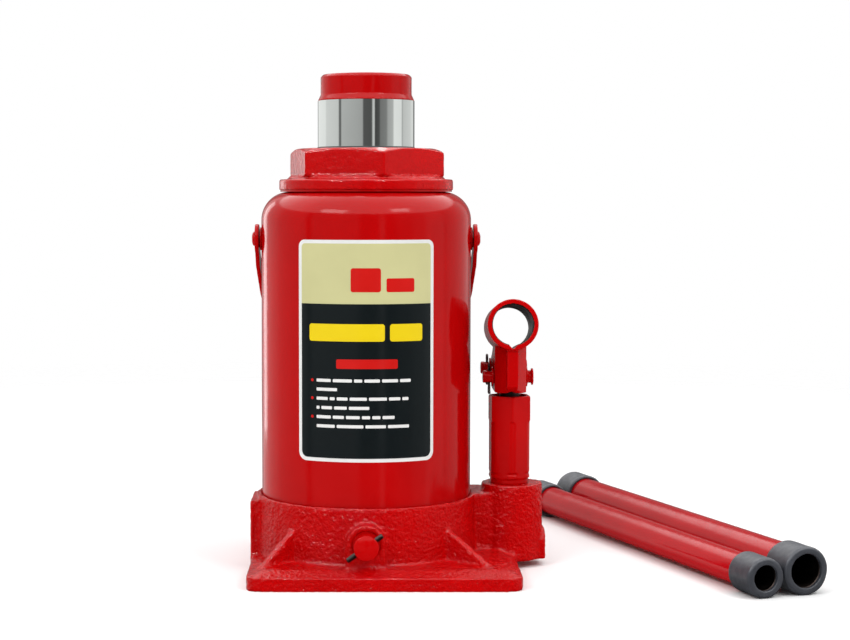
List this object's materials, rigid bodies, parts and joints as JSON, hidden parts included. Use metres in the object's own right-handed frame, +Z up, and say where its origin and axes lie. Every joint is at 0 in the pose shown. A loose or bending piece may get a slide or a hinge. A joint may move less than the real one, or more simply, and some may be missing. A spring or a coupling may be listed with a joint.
{
  "type": "hydraulic bottle jack",
  "caption": "Upright hydraulic bottle jack with a cast base, round tank, chromed ram, side pump with lever socket, carry handle and loose pump handle tubes.",
  "frame": {"origin": "centre of the base sole on the ram axis", "axes": "+Z up along the ram, -Y towards the release valve and the socket mouth, +X towards the pump"},
  "size_m": [0.3493, 0.3242, 0.3142],
  "materials": {
    "cast_paint": "gloss enamel over rough casting",
    "body_paint": "high gloss enamel",
    "pump_paint": "gloss enamel",
    "handle_paint": "gloss enamel",
    "cap_rubber": "moulded, satin",
    "chrome": "polished",
    "machined_steel": "turned",
    "dark_steel": "blackened, oily",
    "seal_rubber": "matt",
    "bearing_bronze": "turned",
    "label_print": "printed vinyl"
  },
  "bodies": {
    "base": {"base_casting": "cast_paint", "carry_handle_pads": "body_paint", "carry_handle_rivets": "pump_paint", "carry_handle_spacers": "dark_steel", "cylinder_gasket": "bearing_bronze", "discharge_ball": "machined_steel", "discharge_spring": "dark_steel", "inner_cylinder": "machined_steel", "label": "label_print", "link_base_pin": "pump_paint", "link_base_pin_cotter": "dark_steel", "link_base_pin_washers": "pump_paint", "overload_ball": "machined_steel", "overload_screw": "pump_paint", "overload_spring": "dark_steel", "plunger_seal": "seal_rubber", "pump_cylinder": "pump_paint", "pump_washer": "bearing_bronze", "ram_guide_ring": "bearing_bronze", "ram_wiper": "seal_rubber", "release_ball": "machined_steel", "release_valve_collar": "pump_paint", "suction_plug": "pump_paint", "suction_strainer": "dark_steel", "tank_base_gasket": "seal_rubber", "tank_top_gasket": "body_paint", "tank_tube": "body_paint", "top_nut": "body_paint"},
    "ram": {"ram_rod": "chrome", "piston": "machined_steel", "piston_seal": "seal_rubber", "piston_backup_ring": "seal_rubber", "piston_wear_ring": "bearing_bronze", "saddle": "body_paint"},
    "release_valve": {"release_valve_stem": "pump_paint", "release_cross_pin": "dark_steel", "release_valve_oring": "seal_rubber"},
    "plunger": {"pump_plunger": "dark_steel"},
    "socket": {"handle_socket": "pump_paint", "plunger_pin": "pump_paint", "plunger_pin_washers": "pump_paint", "plunger_pin_cotter": "dark_steel", "link_top_pin": "pump_paint", "link_top_pin_washers": "pump_paint", "link_top_pin_cotter": "dark_steel"},
    "link": {"pump_link": "pump_paint"},
    "bail": {"carry_handle": "pump_paint"},
    "filler": {"filler_plug": "seal_rubber"},
    "suction_valve": {"suction_ball": "machined_steel"},
    "large_handle": {"large_handle_tube": "handle_paint", "large_handle_near_cap": "cap_rubber", "large_handle_far_cap": "cap_rubber"},
    "small_handle": {"small_handle_tube": "handle_paint", "small_handle_near_cap": "cap_rubber", "small_handle_far_cap": "cap_rubber"}
  },
  "joints": [
    {"name": "ram_lift", "type": "slide", "parent": "base", "child": "ram", "axis": [0, 0, 1], "range_m": [-0.0295, 0.1505]},
    {"name": "release_valve_turn", "type": "hinge", "parent": "base", "child": "release_valve", "pos_m": [0, -0.08, 0.0262], "axis": [0, -1, 0], "range_deg": [0, 350]},
    {"name": "pump_stroke", "type": "slide", "parent": "base", "child": "plunger", "axis": [0, 0, 1], "range_m": [0, 0.0113]},
    {"name": "socket_rock", "type": "hinge", "parent": "plunger", "child": "socket", "pos_m": [0.0922, 0, 0.1214], "axis": [-1, 0, 0], "range_deg": [0, 30]},
    {"name": "link_swing", "type": "hinge", "parent": "base", "child": "link", "pos_m": [0.0922, 0.02167, 0.06722], "axis": [1, 0, 0], "range_deg": [0, 1]},
    {"name": "carry_handle_swing", "type": "hinge", "parent": "base", "child": "bail", "pos_m": [0, 0, 0.21], "axis": [1, 0, 0], "range_deg": [0, 277.6]},
    {"name": "filler_plug_pull", "type": "slide", "parent": "base", "child": "filler", "axis": [0, 1, 0], "range_m": [0, 0.012]},
    {"name": "suction_ball_lift", "type": "slide", "parent": "base", "child": "suction_valve", "axis": [0, 0, 1], "range_m": [0, 0.0015]},
    {"name": "large_handle_lift", "type": "slide", "parent": "base", "child": "large_handle", "axis": [0, 0, 1], "range_m": [0, 0.08]},
    {"name": "small_handle_lift", "type": "slide", "parent": "base", "child": "small_handle", "axis": [0, 0, 1], "range_m": [0, 0.08]}
  ],
  "couplings": [
    {"joint": "pump_stroke", "follows": "socket_rock", "m_per_rad": 0.021524},
    {"joint": "link_swing", "follows": "socket_rock", "ratio": 0.0324}
  ]
}
